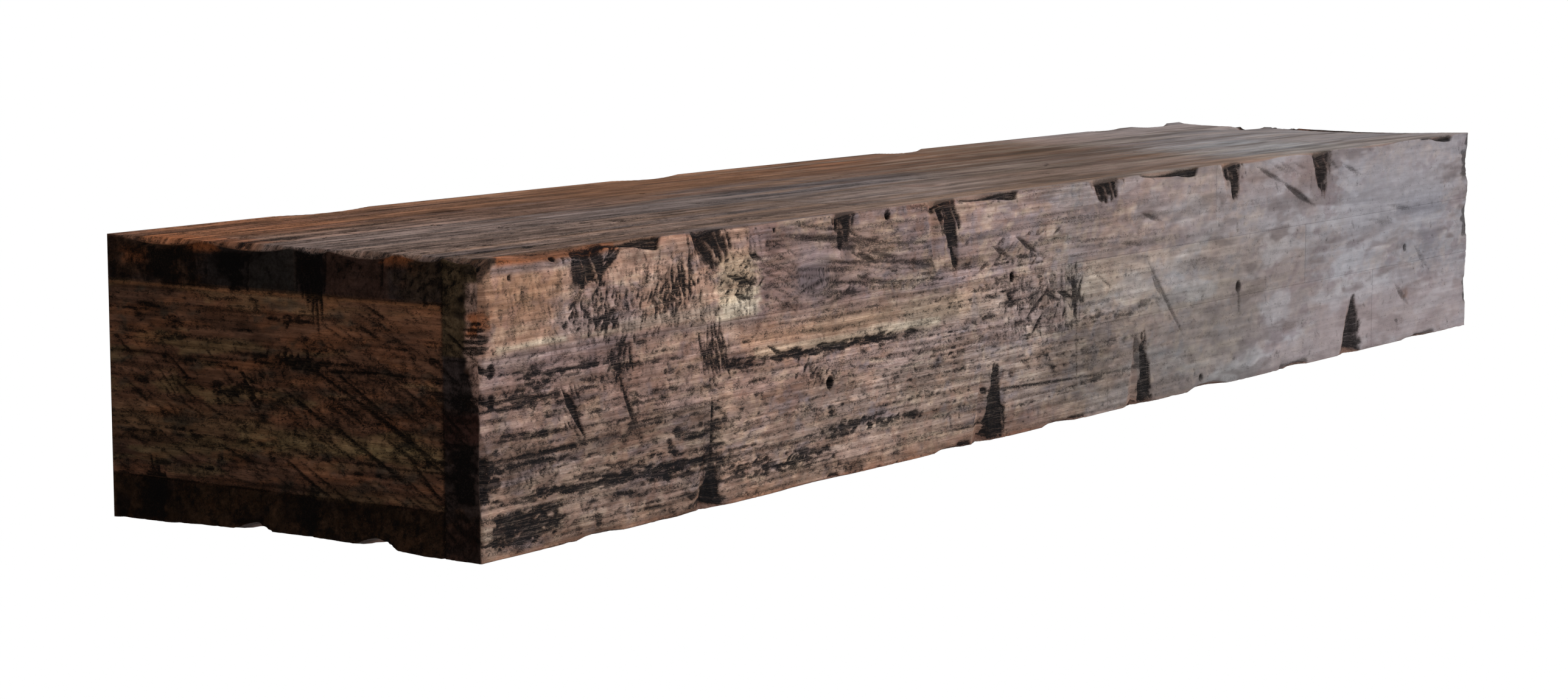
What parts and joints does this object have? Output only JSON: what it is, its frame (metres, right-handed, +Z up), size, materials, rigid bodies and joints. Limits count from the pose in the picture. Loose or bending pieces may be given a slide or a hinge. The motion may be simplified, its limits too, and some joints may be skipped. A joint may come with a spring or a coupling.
{
  "type": "mantel shelf",
  "caption": "Wall-hung mantel shelf: a hollow beam of distressed wood staves with hewn edges, hung by a bevelled rail on a wall cleat.",
  "frame": {"origin": "middle of the wall cleat's back face, on the wall plane, at the height of the wall screws", "axes": "+X along the beam to the right as seen from the room, +Y into the wall, +Z up"},
  "size_m": [1.2192, 0.254, 0.1524],
  "materials": {
    "front_wood": "distressed, stained, matte",
    "top_wood": "distressed, stained, matte",
    "end_wood": "distressed, dark stain, matte",
    "bottom_wood": "stained, matte",
    "inner_wood": "planed, unfinished",
    "screw_steel": "zinc plated"
  },
  "bodies": {
    "wall_cleat": {"wall_cleat": "inner_wood"},
    "shell": {"bottom_back_stave_1": "bottom_wood", "bottom_back_stave_2": "bottom_wood", "bottom_back_stave_3": "bottom_wood", "bottom_front_stave_1": "bottom_wood", "bottom_front_stave_2": "bottom_wood", "bottom_front_stave_3": "bottom_wood", "bottom_mid_back_stave_1": "bottom_wood", "bottom_mid_back_stave_2": "bottom_wood", "bottom_mid_back_stave_3": "bottom_wood", "bottom_mid_front_stave_1": "bottom_wood", "bottom_mid_front_stave_2": "bottom_wood", "bottom_mid_front_stave_3": "bottom_wood", "centre_rib": "inner_wood", "front_lower_stave_1": "front_wood", "front_lower_stave_2": "front_wood", "front_lower_stave_3": "front_wood", "front_lower_stave_4": "front_wood", "front_middle_stave_1": "front_wood", "front_middle_stave_2": "front_wood", "front_middle_stave_3": "front_wood", "front_upper_stave_1": "front_wood", "front_upper_stave_2": "front_wood", "front_upper_stave_3": "front_wood", "hanging_rail": "inner_wood", "left_end_lower_stave": "end_wood", "left_end_middle_stave": "end_wood", "left_end_upper_stave": "end_wood", "left_rib": "inner_wood", "rail_screws": "screw_steel", "right_end_lower_stave": "end_wood", "right_end_middle_stave": "end_wood", "right_end_upper_stave": "end_wood", "right_rib": "inner_wood", "top_back_stave_1": "top_wood", "top_back_stave_2": "top_wood", "top_back_stave_3": "top_wood", "top_front_stave_1": "top_wood", "top_front_stave_2": "top_wood", "top_front_stave_3": "top_wood", "top_mid_back_stave_1": "top_wood", "top_mid_back_stave_2": "top_wood", "top_mid_back_stave_3": "top_wood", "top_mid_front_stave_1": "top_wood", "top_mid_front_stave_2": "top_wood", "top_mid_front_stave_3": "top_wood"}
  },
  "joints": [
    {"name": "lift_off", "type": "slide", "parent": "wall_cleat", "child": "shell", "axis": [0, -0.7071, 0.7071], "range_m": [0, 0.03]}
  ]
}
